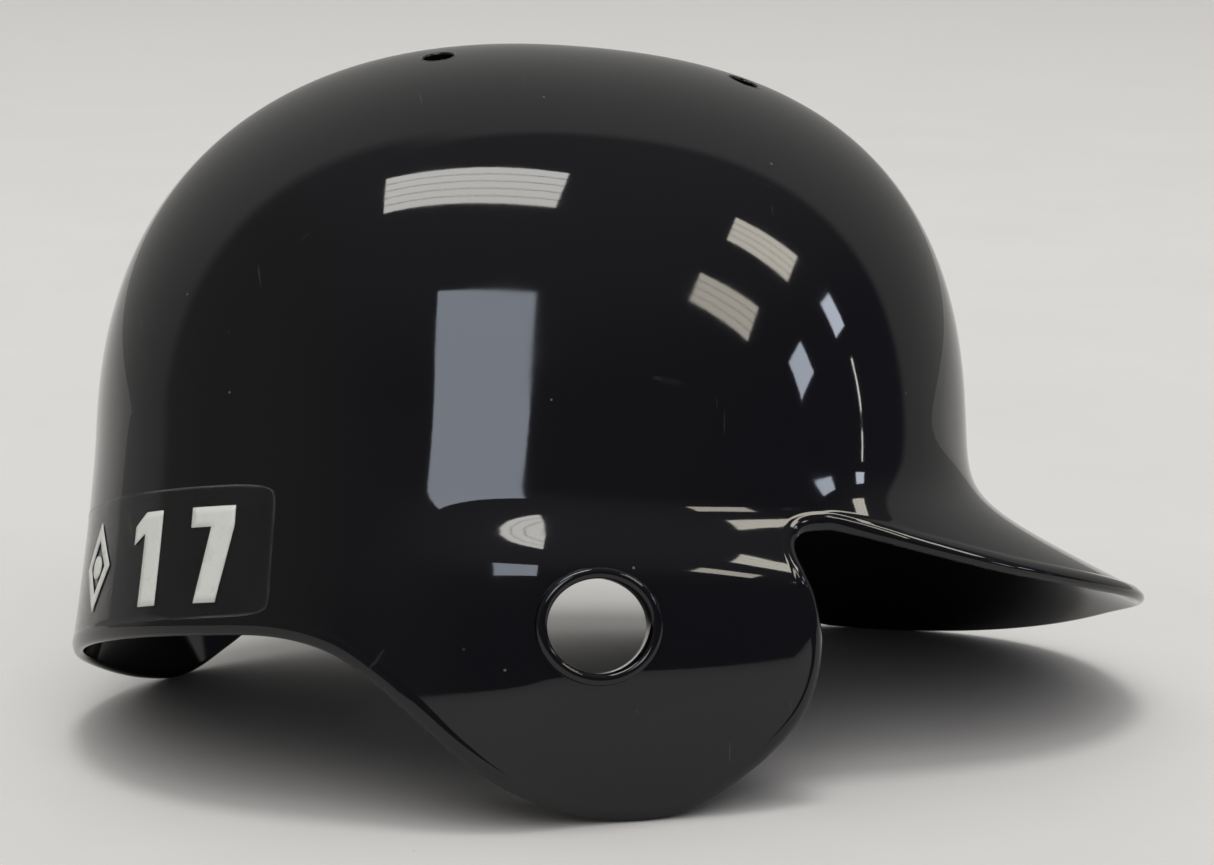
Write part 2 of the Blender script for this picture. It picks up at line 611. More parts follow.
def edge_beaded(outer, out, rim, ahead):
    """Raises a faint bead along the lower edge and rolls it inward; gives the points and their normals."""
    tree = nearest_tree(rim)
    outer, shown = outer.copy(), out.copy()
    for i in np.flatnonzero(outer[:, 2] < -5.0):
        _, k, distance = tree.find(outer[i])
        if distance > BEAD_START + 1.0:
            continue
        feet = []
        for other in (k - 1, (k + 1) % len(rim)):
            step = rim[other] - rim[k]
            share = np.clip((outer[i] - rim[k]) @ step / (step @ step), 0.0, 1.0)
            feet.append(rim[k] + share * step - outer[i])
        toward = min(feet, key=np.linalg.norm)
        reach = np.linalg.norm(toward)
        height, fall = bead_profile(reach + ahead)
        outer[i] += out[i] * height
        shown[i] = unit(out[i] + toward / max(reach, 1e-6) * fall)
    return outer, shown


def nose_rings(base, up, away):
    """Rings of points round the wall's edge, from the outer face over a round nose to the inner face."""
    height, fall = bead_profile(0.0)
    lean = math.atan(fall)
    radius = (WALL + height) / (1 + math.cos(lean))
    turns = [lean + (math.pi - lean) * k / NOSE_STEPS for k in range(NOSE_STEPS + 1)]
    ahead = [WALL / 2 - radius + radius * math.sin(turn) for turn in turns]
    rings = [
        base + away * reach + up * (radius * (1 + math.cos(turn)) - WALL)
        for turn, reach in zip(turns, ahead)
    ]
    return rings, [away * math.sin(turn) + up * math.cos(turn) for turn in turns], ahead[0]


def all_lips():
    """The ear hole's ring and the lips of the four vents."""
    ear = lip(EAR_AZIMUTH, float(profile_at(EAR_HEIGHT)), EAR_WIDE, EAR_HIGH, ear_section(), False)
    vents = [lip(a, VENT_PROFILE, VENT_RADIUS, VENT_RADIUS, vent_section(), True, 48) for a in VENT_AZIMUTHS]
    return [ear] + vents


def shell_mesh():
    """Outer and inner face, the nose that joins them, the walls of the holes, and the lips."""
    sheet, rim, away = outer_sheet()
    azimuth, profile = np.array(sheet.stations).T
    total = len(azimuth)
    out = normal(azimuth, profile)
    outer = surface(azimuth, profile)
    inner = outer - WALL * out
    base = outer[rim]
    rings, ring_normals, ahead = nose_rings(base, out[rim], away)
    outer, shown = edge_beaded(outer, out, base, ahead)
    outer[rim], shown[rim], inner[rim] = rings[0], ring_normals[0], rings[-1]
    points, normals = [outer, inner] + rings[1:-1], [shown, -out] + ring_normals[1:-1]
    faces = list(sheet.faces) + [tuple(total + i for i in reversed(f)) for f in sheet.faces]
    start = 2 * total
    nose = [rim]
    for _ in range(NOSE_STEPS - 1):
        nose.append(list(range(start, start + len(rim))))
        start += len(rim)
    nose.append([total + i for i in rim])
    for upper, lower in zip(nose[:-1], nose[1:]):
        for i in range(len(rim)):
            k = (i + 1) % len(rim)
            faces.append((upper[i], lower[i], lower[k], upper[k]))
    for loop in sheet.loops:
        for a, b in zip(loop, loop[1:] + loop[:1]):
            faces.append((a, b, total + b, total + a))
    for ring, ring_quads in all_lips():
        points.append(ring)
        normals.append(np.zeros(ring.shape))
        faces += [tuple(start + i for i in f) for f in ring_quads]
        start += len(ring)
    return mesh_of("shell_moulding", np.vstack(points), faces, np.vstack(normals))


# ---------------------------------------------------------------- places of the foam inside
def rounded(s, t, power=6.0):
    """The square -1..1 with its corners rounded."""
    longest = np.maximum(np.abs(s), np.abs(t))
    size = (np.abs(s) ** power + np.abs(t) ** power) ** (1.0 / power)
    scale = np.where(size > 1e-9, longest / np.maximum(size, 1e-9), 0.0)
    return s * scale, t * scale


def zone_place(name, share):
    """place(s, t) of one zone's block, scaled by share about its middle."""
    if name == "crown":
        def place(s, t):
            u, w = rounded(s, t, 3.5)
            x, y = CROWN_LONG * share * w, CROWN_WIDE * share * u
            return np.degrees(np.arctan2(y, x)), np.hypot(x, y)
        return place
    (a0, a1), (p0, p1) = PADS[name]

    def place(s, t):
        u, w = rounded(s, t)
        return (a0 + a1) / 2 + (a1 - a0) / 2 * share * u, (p0 + p1) / 2 + (p1 - p0) / 2 * share * w
    return place


def patch_place(name, side):
    """place(s, t) of a hook patch, on one side of its zone or the other."""
    if name == "crown":
        def place(s, t):
            x = CROWN_LONG * (CROWN_PATCH_LONG * t + side * CROWN_PATCH_AT)
            y = CROWN_WIDE * CROWN_PATCH_HALF * s
            return np.degrees(np.arctan2(y, x)), np.hypot(x, y)
        return place
    (a0, a1), (p0, p1) = PADS[name]
    return lambda s, t: (
        (a0 + a1) / 2 + (a1 - a0) / 2 * (side * PATCH_AT + PATCH_LONG * s),
        (p0 + p1) / 2 + (p1 - p0) / 2 * PATCH_HIGH * t,
    )


def ear_ring_place(share):
    """place(turn, mix): round the ear, mix from the open middle at 0 to the outer rim at 1."""
    def place(turn, mix):
        c, s = np.cos(turn), np.sin(turn)
        size = (np.abs(c) ** EAR_PAD_POWER + np.abs(s) ** EAR_PAD_POWER) ** (-1.0 / EAR_PAD_POWER)
        wide = EAR_SPACE_WIDE * (1 - mix) + EAR_PAD_WIDE * share * size * mix
        high = EAR_SPACE_HIGH * (1 - mix) + EAR_PAD_HIGH * share * size * mix
        return EAR_PAD_AZIMUTH + wide * c, profile_at(EAR_PAD_HEIGHT + high * s)
    return place


def ear_ring(share, outer, inner, around=96, bands=9):
    """A foam ring with a rounded section between two depths."""
    place = ear_ring_place(share)
    turn = np.arange(around) * 2 * np.pi / around
    middle, half = (outer + inner) / 2, (inner - outer) / 2
    rings = []
    for k in range(2 * bands):
        lean = 2 * np.pi * k / (2 * bands)
        across = 0.5 + 0.5 * np.sign(np.cos(lean)) * abs(math.cos(lean)) ** 0.55
        deep = middle + half * np.sign(np.sin(lean)) * abs(math.sin(lean)) ** 0.55
        rings.append(layer(*place(turn, across), np.full(around, deep)))
    points = np.stack(rings, 1).reshape(-1, 3)
    return points, facing_out(points - points.mean(0), ring_faces(around, 2 * bands))


# ---------------------------------------------------------------- materials
class NodeTree:
    """Short ways to add nodes to a tree: inputs are given by name, as values or as sockets to link."""

    def __init__(self, tree):
        self.tree = tree

    def node(self, kind, settings=None, **inputs):
        made = self.tree.nodes.new(kind)
        for key, value in (settings or {}).items():
            setattr(made, key, value)
        for key, value in inputs.items():
            self.put(made.inputs[key.replace("_", " ")], value)
        return made

    def put(self, socket, value):
        if isinstance(value, bpy.types.NodeSocket):
            self.tree.links.new(value, socket)
        else:
            socket.default_value = value

    def maths(self, operation, *values):
        made = self.node("ShaderNodeMath", {"operation": operation})
        for socket, value in zip(made.inputs, values):
            self.put(socket, value)
        return made.outputs[0]

    def mixed(self, share, a, b):
        made = self.node("ShaderNodeMix", {"data_type": "RGBA"})
        self.put(made.inputs[0], share)
        self.put(made.inputs[6], a)
        self.put(made.inputs[7], b)
        return made.outputs[2]


class Finish(NodeTree):
    """A principled material, and short ways to vary it over the surface."""

    def __init__(self, name, **sockets):
        self.material = bpy.data.materials.new(name)
        self.material.use_nodes = True
        super().__init__(self.material.node_tree)
        self.shader = self.tree.nodes["Principled BSDF"]
        self.set(**sockets)
        self.where = self.node("ShaderNodeTexCoord").outputs["Object"]

    def set(self, **sockets):
        for socket, value in sockets.items():
            self.put(self.shader.inputs[socket.replace("_", " ")], value)
        return self.material

    def noise(self, scale, detail=2.0, roughness=0.5, where=None):
        where = where or self.where
        made = self.node("ShaderNodeTexNoise", Vector=where, Scale=scale, Detail=detail, Roughness=roughness)
        return made.outputs["Fac"]

    def cells(self, scale, **settings):
        return self.node("ShaderNodeTexVoronoi", settings, Vector=self.where, Scale=scale).outputs

    def bands(self, scale, **inputs):
        """Slanting ribs, as of woven tape or twisted thread."""
        slant = {"wave_type": "BANDS", "bands_direction": "DIAGONAL"}
        return self.node("ShaderNodeTexWave", slant, Vector=self.where, Scale=scale, **inputs).outputs["Fac"]

    def channel(self, colour, name):
        return self.node("ShaderNodeSeparateColor", Color=colour).outputs[name]

    def stretched(self, scale, turn=(0.0, 0.0, 0.0)):
        return self.node("ShaderNodeMapping", Vector=self.where, Scale=scale, Rotation=turn).outputs["Vector"]

    def ramp(self, value, low, high, to_low=0.0, to_high=1.0):
        limits = {"From_Min": low, "From_Max": high, "To_Min": to_low, "To_Max": to_high}
        return self.node("ShaderNodeMapRange", {"clamp": True}, Value=value, **limits).outputs["Result"]

    def bump(self, height, distance, after=None):
        made = self.node("ShaderNodeBump", Height=height, Distance=distance, Strength=1.0)
        if after is not None:
            self.put(made.inputs["Normal"], after)
        return made.outputs["Normal"]


def gloss_black():
    """High-gloss moulding: a faint ripple, fine handling scratches, smears and specks of dust."""
    f = Finish("gloss_black_moulding", IOR=1.47)
    black, scuffed = (0.0042, 0.0042, 0.005, 1.0), (0.10, 0.098, 0.092, 1.0)
    ripple = f.bump(f.noise(24.0, 1.0), 7e-5)
    peel = f.bump(f.noise(420.0, 1.0), 1.6e-6, ripple)
    smear = f.ramp(f.noise(16.0, 6.0, 0.62), 0.46, 0.72)
    lines = []
    for scale, turn in (((14.0, 900.0, 60.0), (0.3, 0.5, 0.4)), ((700.0, 18.0, 50.0), (0.2, 0.9, 0.7))):
        hair = f.ramp(f.noise(1.0, 1.0, 0.5, f.stretched(scale, turn)), 0.745, 0.765)
        area = f.ramp(f.noise(31.0, 3.0), 0.56, 0.66)
        lines.append(f.maths("MULTIPLY", hair, area))
    scratched = f.maths("MAXIMUM", *lines)
    cells = f.cells(115.0)
    speck = f.ramp(cells["Distance"], 0.035, 0.055, 1.0, 0.0)
    chosen = f.ramp(f.channel(cells["Color"], "Red"), 0.86, 0.88)
    dust = f.maths("MULTIPLY", speck, chosen)
    mess = f.maths("MAXIMUM", f.maths("MULTIPLY", scratched, 0.3), dust)
    rough = f.maths("ADD", f.ramp(smear, 0.0, 1.0, 0.035, 0.085), f.maths("MULTIPLY", mess, 0.4))
    return f.set(Base_Color=f.mixed(mess, black, scuffed), Roughness=rough, Normal=peel)


def closed_cell_foam():
    """Stiff charcoal foam with a fine cell skin and flecks."""
    f = Finish("charcoal_liner_foam", IOR=1.45)
    charcoal, worn, pale = (0.016, 0.017, 0.018, 1.0), (0.034, 0.035, 0.037, 1.0), (0.08, 0.08, 0.082, 1.0)
    pits = f.bump(f.cells(900.0, feature="SMOOTH_F1")["Distance"], 1.6e-4)
    uneven = f.bump(f.noise(120.0, 4.0), 1.5e-4, pits)
    shade = f.mixed(f.noise(60.0, 5.0, 0.7), charcoal, worn)
    fleck = f.ramp(f.noise(1500.0, 1.0), 0.66, 0.72)
    colour = f.mixed(f.maths("MULTIPLY", fleck, 0.35), shade, pale)
    return f.set(Base_Color=colour, Roughness=f.ramp(f.noise(300.0), 0.3, 0.7, 0.7, 0.92), Normal=uneven)


def pad_knit():
    """Brushed knit: rows of small loops that follow the cloth, with a soft sheen."""
    f = Finish("brushed_pad_knit", Sheen_Weight=0.35, Sheen_Roughness=0.45, IOR=1.4)
    dark, rubbed, tip = (0.011, 0.011, 0.013, 1.0), (0.026, 0.026, 0.029, 1.0), (0.055, 0.055, 0.06, 1.0)
    wale_turns, course_turns = 5236.0, 7854.0  # radians a metre: a wale every 1.2 mm, a course every 0.8 mm
    flat = f.node("ShaderNodeAttribute", {"attribute_name": "cloth"}).outputs["Vector"]
    along = f.node("ShaderNodeSeparateXYZ", Vector=flat).outputs
    sway = f.maths("MULTIPLY", f.maths("SINE", f.maths("MULTIPLY", along["Y"], wale_turns)), 0.00017)
    across = f.maths("ADD", along["X"], sway)
    wales = f.maths("SINE", f.maths("MULTIPLY", across, wale_turns))
    courses = f.maths("SINE", f.maths("MULTIPLY", along["Y"], course_turns))
    loops = f.maths("ADD", f.maths("MULTIPLY", wales, 0.6), f.maths("MULTIPLY", courses, 0.4))
    knit = f.bump(loops, 9e-5)
    fuzz = f.bump(f.noise(2400.0, 3.0), 6e-5, knit)
    worn = f.noise(45.0, 4.0, 0.6)
    raised = f.maths("MULTIPLY", f.ramp(loops, 0.3, 1.0), 0.3)
    colour = f.mixed(raised, f.mixed(worn, dark, rubbed), tip)
    return f.set(Base_Color=colour, Roughness=f.ramp(worn, 0.3, 0.7, 0.78, 0.95), Normal=fuzz)


def edge_binding():
    """Ribbed woven tape round the pads."""
    f = Finish("ribbed_edge_binding", Sheen_Weight=0.2, IOR=1.45)
    ribs = f.bands(620.0, Distortion=0.6)
    colour = f.mixed(f.noise(300.0, 3.0), (0.008, 0.008, 0.009, 1.0), (0.024, 0.024, 0.026, 1.0))
    rough = f.ramp(ribs, 0.0, 1.0, 0.65, 0.85)
    return f.set(Base_Color=colour, Roughness=rough, Normal=f.bump(ribs, 1.2e-4))


def thread():
    """Twisted thread of the stitches."""
    f = Finish("grey_polyester_thread", IOR=1.5)
    twist = f.bands(1900.0)
    colour = f.mixed(f.noise(500.0), (0.045, 0.046, 0.05, 1.0), (0.085, 0.086, 0.09, 1.0))
    return f.set(Base_Color=colour, Roughness=f.ramp(twist, 0.0, 1.0, 0.42, 0.6), Normal=f.bump(twist, 5e-5))


def hook_tape():
    """Woven tape and its nylon hooks."""
    f = Finish("black_hook_tape", IOR=1.5)
    weave = f.node("ShaderNodeTexChecker", Vector=f.where, Scale=2200.0).outputs["Fac"]
    colour = f.mixed(f.noise(800.0, 2.0), (0.006, 0.006, 0.007, 1.0), (0.02, 0.02, 0.021, 1.0))
    rough = f.ramp(f.noise(400.0), 0.3, 0.7, 0.5, 0.75)
    return f.set(Base_Color=colour, Roughness=rough, Normal=f.bump(weave, 8e-5))


def white_vinyl():
    """Cut vinyl: satin white, faintly yellowed and rubbed, with the odd crease."""
    f = Finish("white_cut_vinyl", IOR=1.48)
    folds = f.noise(1.0, 2.0, 0.5, f.stretched((40.0, 40.0, 160.0), (0.0, 0.5, 0.3)))
    creases = f.bump(f.ramp(folds, 0.6, 0.68), 3e-5)
    grain = f.bump(f.noise(1800.0, 2.0), 8e-6, creases)
    rubbed = f.ramp(f.noise(210.0, 6.0, 0.7), 0.56, 0.76)
    colour = f.mixed(rubbed, (0.74, 0.76, 0.71, 1.0), (0.60, 0.61, 0.57, 1.0))
    return f.set(Base_Color=colour, Roughness=f.ramp(rubbed, 0.0, 1.0, 0.3, 0.5), Normal=grain)


def clear_film():
    """Clear film: nearly unseen on the flat, milky along its cut edge, with shallow ripples and bubbles."""
    f = Finish("clear_protective_film", IOR=1.46)
    clear, milky = (0.10, 0.10, 0.10, 1.0), (0.55, 0.54, 0.52, 1.0)
    ripples = f.bump(f.noise(1.0, 2.0, 0.5, f.stretched((30.0, 30.0, 110.0))), 1.4e-4)
    domes = f.bump(f.ramp(f.cells(260.0)["Distance"], 0.05, 0.16, 1.0, 0.0), 3e-5, ripples)
    rim = f.node("ShaderNodeAttribute", {"attribute_name": "rim"}).outputs["Fac"]
    haze = f.ramp(f.noise(90.0, 5.0, 0.65), 0.35, 0.75, 0.02, 0.05)
    lifted = f.ramp(f.noise(38.0, 3.0), 0.42, 0.66, 0.03, 0.24)
    return f.set(
        Base_Color=f.mixed(rim, clear, milky),
        Roughness=f.ramp(f.noise(140.0, 3.0), 0.3, 0.7, 0.1, 0.24),
        Alpha=f.maths("MAXIMUM", haze, f.maths("MULTIPLY", rim, lifted)),
        Normal=domes,
    )


def table_top():
    """Pale laminate, faintly mottled, a little darker far from the helmet, with the odd speck."""
    f = Finish("pale_table_top", IOR=1.4)
    near_low, near_high, far = (0.775, 0.765, 0.745, 1.0), (0.80, 0.79, 0.77, 1.0), (0.665, 0.66, 0.65, 1.0)
    mottle = f.noise(9.0, 6.0, 0.6)
    colour = f.mixed(f.ramp(mottle, 0.3, 0.7), near_low, near_high)
    away = f.node("ShaderNodeVectorMath", {"operation": "LENGTH"})
    f.put(away.inputs[0], f.where)
    colour = f.mixed(f.ramp(away.outputs["Value"], 0.9, 3.2), colour, far)
    specks = f.cells(60.0)
    spot = f.ramp(specks["Distance"], 0.012, 0.022, 1.0, 0.0)
    chosen = f.ramp(f.channel(specks["Color"], "Green"), 0.93, 0.95)
    shown = f.maths("MULTIPLY", f.maths("MULTIPLY", spot, chosen), 0.6)
    colour = f.mixed(shown, colour, (0.22, 0.21, 0.2, 1.0))
    grain = f.bump(f.noise(700.0, 3.0), 4e-5)
    return f.set(Base_Color=colour, Roughness=f.ramp(mottle, 0.3, 0.7, 0.62, 0.72), Normal=grain)


# ---------------------------------------------------------------- geometry node trees
class Growth(NodeTree):
    """A geometry node tree with named inputs that ends in Realize Instances and Set Material."""

    def __init__(self, name, sizes):
        super().__init__(bpy.data.node_groups.new(name, "GeometryNodeTree"))
        sockets = self.tree.interface
        sockets.new_socket("Geometry", in_out="INPUT", socket_type="NodeSocketGeometry")
        for key, value in sizes.items():
            kind = "NodeSocketInt" if isinstance(value, int) else "NodeSocketFloat"
            made = sockets.new_socket(key.replace("_", " "), in_out="INPUT", socket_type=kind)
            made.default_value = value
        sockets.new_socket("Geometry", in_out="OUTPUT", socket_type="NodeSocketGeometry")
        self.given = self.tree.nodes.new("NodeGroupInput").outputs

    def vector(self, x, y, z):
        return self.node("ShaderNodeCombineXYZ", X=x, Y=y, Z=z).outputs["Vector"]

    def half(self, value):
        return self.maths("MULTIPLY", value, 0.5)

    def placed(self, spots, what):
        """One instance of what at each spot, turned as the spot is."""
        at, turn = spots.outputs["Points"], spots.outputs["Rotation"]
        made = self.node("GeometryNodeInstanceOnPoints", Points=at, Instance=what, Rotation=turn)
        return made.outputs["Instances"]

    def finish(self, instances, material):
        real = self.node("GeometryNodeRealizeInstances", Geometry=instances).outputs["Geometry"]
        shaded = self.node("GeometryNodeSetShadeSmooth", Geometry=real).outputs["Geometry"]
        dyed = self.node("GeometryNodeSetMaterial", Geometry=shaded, Material=material).outputs["Geometry"]
        self.tree.links.new(dyed, self.tree.nodes.new("NodeGroupOutput").inputs[0])
        return self.tree


def stitch_row(material):
    """Stitches along a path: a small rounded bar at every pitch, turned along the path."""
    g = Growth("stitch_row", STITCHING)
    path = g.node("GeometryNodeMeshToCurve", Mesh=g.given["Geometry"]).outputs["Curve"]
    spots = g.node("GeometryNodeCurveToPoints", {"mode": "LENGTH"}, Curve=path, Length=g.given["Pitch"])
    bar = g.node("GeometryNodeMeshUVSphere", Segments=6, Rings=4, Radius=1.0).outputs["Mesh"]
    thin, long = g.half(g.given["Thread"]), g.half(g.given["Stitch"])
    sized = g.node("GeometryNodeTransform", Geometry=bar, Scale=g.vector(thin, thin, long))
    return g.finish(g.placed(spots, sized.outputs["Geometry"]), material)


def hook_field(material):
    """Hooks on a tape: bent bristles scattered over its face, each turned its own way."""
    g = Growth("hook_field", HOOKS)
    face, seed = g.given["Geometry"], g.given["Seed"]
    spots = g.node("GeometryNodeDistributePointsOnFaces", Mesh=face, Density=g.given["Density"], Seed=seed)
    tall, wire = g.given["Hook Height"], g.given["Wire"]
    bend = g.node("GeometryNodeCurveQuadraticBezier", Resolution=3, Start=(0.0, 0.0, 0.0))
    line = bend.outputs["Curve"]
    g.put(bend.inputs["Middle"], g.vector(0.0, 0.0, tall))
    g.put(bend.inputs["End"], g.vector(g.half(tall), 0.0, g.half(tall)))
    section = g.node("GeometryNodeCurvePrimitiveCircle", Resolution=3, Radius=wire).outputs["Curve"]
    hook = g.node("GeometryNodeCurveToMesh", Curve=line, Profile_Curve=section, Fill_Caps=True)
    spin = g.node("FunctionNodeRandomValue", {"data_type": "FLOAT_VECTOR"}, Seed=seed)
    spin.inputs["Min"].default_value = (0.0, 0.0, -3.14)
    spin.inputs["Max"].default_value = (0.0, 0.0, 3.14)
    hooks = g.placed(spots, hook.outputs["Mesh"])
    turned = g.node("GeometryNodeRotateInstances", Instances=hooks, Rotation=spin.outputs["Value"])
    return g.finish(turned.outputs["Instances"], material)


def grown(name, mesh, tree, sizes):
    """The mesh that a tree grows on or along a source mesh, with each size set by its socket's identifier."""
    source = link(bpy.data.objects.new(name, mesh))
    modifier = source.modifiers.new("grow", "NODES")
    modifier.node_group = tree
    for item in tree.interface.items_tree:
        key = item.name.replace(" ", "_")
        if item.item_type == "SOCKET" and item.in_out == "INPUT" and key in sizes:
            modifier[item.identifier] = sizes[key]
    return baked(source)


# ---------------------------------------------------------------- foam blocks, tape and pads
def modified(name, mesh, kind, **settings):
    """The mesh after one modifier."""
    obj = link(bpy.data.objects.new(name, mesh))
    modifier = obj.modifiers.new(name, kind)
    for key, value in settings.items():
        setattr(modifier, key, value)
    return baked(obj)


def liner_block(name, finish):
    """Foam block with a rounded rim: cast grooves run down its inner face, so that it bends to the shell."""
    def swell(s, t):
        grooves = np.exp(-((np.abs(s) - GROOVE_AT) / GROOVE_WIDE) ** 2)
        return 1.0 - GROOVE_DEEP * grooves * smooth((GROOVE_END - np.abs(t)) / 0.1)
    points, faces = block(zone_place(name, 1.0), BLOCK_TOP, BLOCK_TOP + LINER, 84, 36, True, swell)
    sharp = math.radians(50)
    mesh = modified(
        "round", mesh_of(name, points, faces), "BEVEL",
        width=LINER_RADIUS, segments=4, limit_method="ANGLE", angle_limit=sharp,
    )
    smooth_faces(mesh)
    return piece(name + "_foam_block", mesh, finish, "foam_liner", name + "_liner")


def joined_meshes(name, *meshes):
    points, faces, start = [], [], 0
    for mesh in meshes:
        points.append(vertex_array(mesh))
        faces += [tuple(start + i for i in polygon.vertices) for polygon in mesh.polygons]
        start += len(mesh.vertices)
    made = bpy.data.meshes.new(name)
    made.from_pydata(np.vstack(points).tolist(), [], faces)
    smooth_faces(made)
    return made


def tape_patch(name, side, label, finish, tree):
    """A patch of hook tape: a thin base, and the hooks that grow on its inner face."""
    points, faces = block(patch_place(name, side), PATCH_TOP, PATCH_TOP + PATCH - HOOK_ROOM, 12, 8)
    sheet_size = len(points) // 2
    top = [tuple(i - sheet_size for i in f) for f in faces if min(f) >= sheet_size]
    field = grown("hooks", mesh_of("face", points[sheet_size:], top), tree, HOOKS)
    joined = joined_meshes(f"{name}_hook_tape_{label}", mesh_of("tape", points, faces), field)
    return piece(joined.name, joined, finish, "hook_patch", f"{name}_hook_patch_{label}")


def puffed(mesh, cap):
    """Blows the pad up as cloth under pressure; no point moves further than cap."""
    before = vertex_array(mesh)
    obj = link(bpy.data.objects.new("puff", mesh))
    cloth = obj.modifiers.new("puff", "CLOTH")
    cloth.settings.use_pressure = True
    cloth.settings.uniform_pressure_force = PUFF_PRESSURE
    cloth.settings.effector_weights.gravity = 0.0
    cloth.point_cache.frame_start = 1
    cloth.point_cache.frame_end = PUFF_FRAMES
    scene = bpy.context.scene
    for step in range(1, PUFF_FRAMES + 1):
        scene.frame_set(step)
    after_mesh = baked(obj)
    scene.frame_set(1)
    move = vertex_array(after_mesh) - before
    size = np.linalg.norm(move, axis=1, keepdims=True)
    capped = before + move * np.minimum(1.0, cap / np.maximum(size, 1e-9))
    after_mesh.vertices.foreach_set("co", capped.ravel())
    after_mesh.update()
    return after_mesh


def swollen(mesh, voxel, cap):
    """The drawn pad, remeshed evenly and puffed."""
    return puffed(modified("voxels", mesh, "REMESH", mode="VOXEL", voxel_size=voxel), cap)


def subdivided(mesh):
    return modified("fine", mesh, "SUBSURF", levels=1, render_levels=1)


def pad_lookup(place, outer, inner):
    """Finds where in its pad a point lies, as s, t and its share of the depth."""
    steps = (np.linspace(-1, 1, 49), np.linspace(-1, 1, 25), np.linspace(-0.2, 1.3, 7))
    s, t, d = np.meshgrid(*steps, indexing="ij")
    azimuth, profile = place(s, t)
    points = layer(azimuth, profile, outer + (inner - outer) * d, True).reshape(-1, 3)
    rows = np.stack([s.ravel(), t.ravel(), d.ravel()], -1)
    tree = nearest_tree(points)

    def find(point):
        near = tree.find_n(point, 6)
        weights = np.array([1.0 / (hit[2] + 0.05) ** 2 for hit in near])
        return (rows[[hit[1] for hit in near]] * weights[:, None]).sum(0) / weights.sum()
    return find


def sewn(mesh, place, find, width):
    """Presses sewn channels into the pad's inner face, along lines of constant s."""
    points = off_table(vertex_array(mesh))
    found = np.array([find(p) for p in points])
    out = normal(*place(found[:, 0], found[:, 1]), True)
    for line in SEAMS:
        close = np.exp(-((found[:, 0] - line) / width) ** 2)
        pressed = close * smooth(found[:, 2] * 1.4) * smooth((SEAM_END - np.abs(found[:, 1])) / 0.08)
        points += out * (pressed * SEAM_DEEP)[:, None]
    mesh.vertices.foreach_set("co", on_table(points).ravel())
    mesh.update()


def laid_cloth(mesh, along, across):
    """Writes where each point lies on the flat cloth, from millimetres, for the knit to follow."""
    flat = np.stack([along, across, across * 0], -1) * MM
    written(mesh, "cloth", "FLOAT_VECTOR", "vector", flat.ravel())
    smooth_faces(mesh)


def path_on(mesh, azimuth, profile, depth, plain):
    """Seats a path on the pad: each point is dropped from inside the helmet on to the pad's face."""
    tree = BVHTree.FromPolygons([v.co[:] for v in mesh.vertices], [p.vertices[:] for p in mesh.polygons])
    out = normal(azimuth, profile, plain)
    high = on_table(surface(azimuth, profile, plain) - out * (depth + 9.0))
    ways = out @ TURN.T
    places = []
    for start, way in zip(high, ways):
        hit = tree.ray_cast(Vector(start), Vector(way), 0.03)
        if hit[0] is not None:
            places.append(np.array(hit[0]) - way * STITCH_LIFT * MM)
    return places


def polyline(paths, closed):
    """A mesh of edges only, one run for each path."""
    points, edges = [], []
    for path in paths:
        start = len(points)
        points += [tuple(p) for p in path]
        edges += [(start + i, start + i + 1) for i in range(len(path) - 1)]
        if closed and len(path) > 2:
            edges.append((start + len(path) - 1, start))
    mesh = bpy.data.meshes.new("path")
    mesh.from_pydata(points, edges, [])
    return mesh


def stitched(paths, closed, tree):
    return grown("row", polyline(paths, closed), tree, STITCHING)


def tube(path, radius, sides=8):
    """A closed tube along a closed path of wearing-frame points."""
    along = unit(np.roll(path, -1, 0) - np.roll(path, 1, 0))
    inward = unit(np.cross(along, unit(path - path.mean(0))))
    other = np.cross(along, inward)
    turn = (np.arange(sides) * 2 * np.pi / sides)[:, None]
    rings = path[:, None] + radius * (np.cos(turn) * inward[:, None] + np.sin(turn) * other[:, None])
    points = rings.reshape(-1, 3)
    return points, facing_out(points - points.mean(0), ring_faces(len(path), sides))


def binding_tape(name, path, finish):
    piece(name, mesh_of("binding", *tube(path, BINDING)), finish, "pad_cloth")


def square_loop(count, size):
    """s and t once round the square of a given half size, evenly."""
    walk = np.arange(count) / count * 4
    side, ones = [walk < 1, walk < 2, walk < 3], np.ones(count)
    s = np.select(side, [2 * walk - 1, ones, 5 - 2 * walk], -ones)
    t = np.select(side, [-ones, 2 * walk - 3, ones], 7 - 2 * walk)
    return s * size, t * size


def cloth_length(place, s, t):
    """Millimetres along the shell between the places of the points s, t."""
    return np.linalg.norm(np.diff(surface(*place(s, t), True), axis=0), axis=1).sum()


def domed(s, t):
    """How thick a comfort pad's foam is: full in the middle and thinner toward its rim."""
    return 0.62 + 0.38 * np.sqrt(np.clip(1 - np.maximum(np.abs(s), np.abs(t)) ** 4, 0, 1))


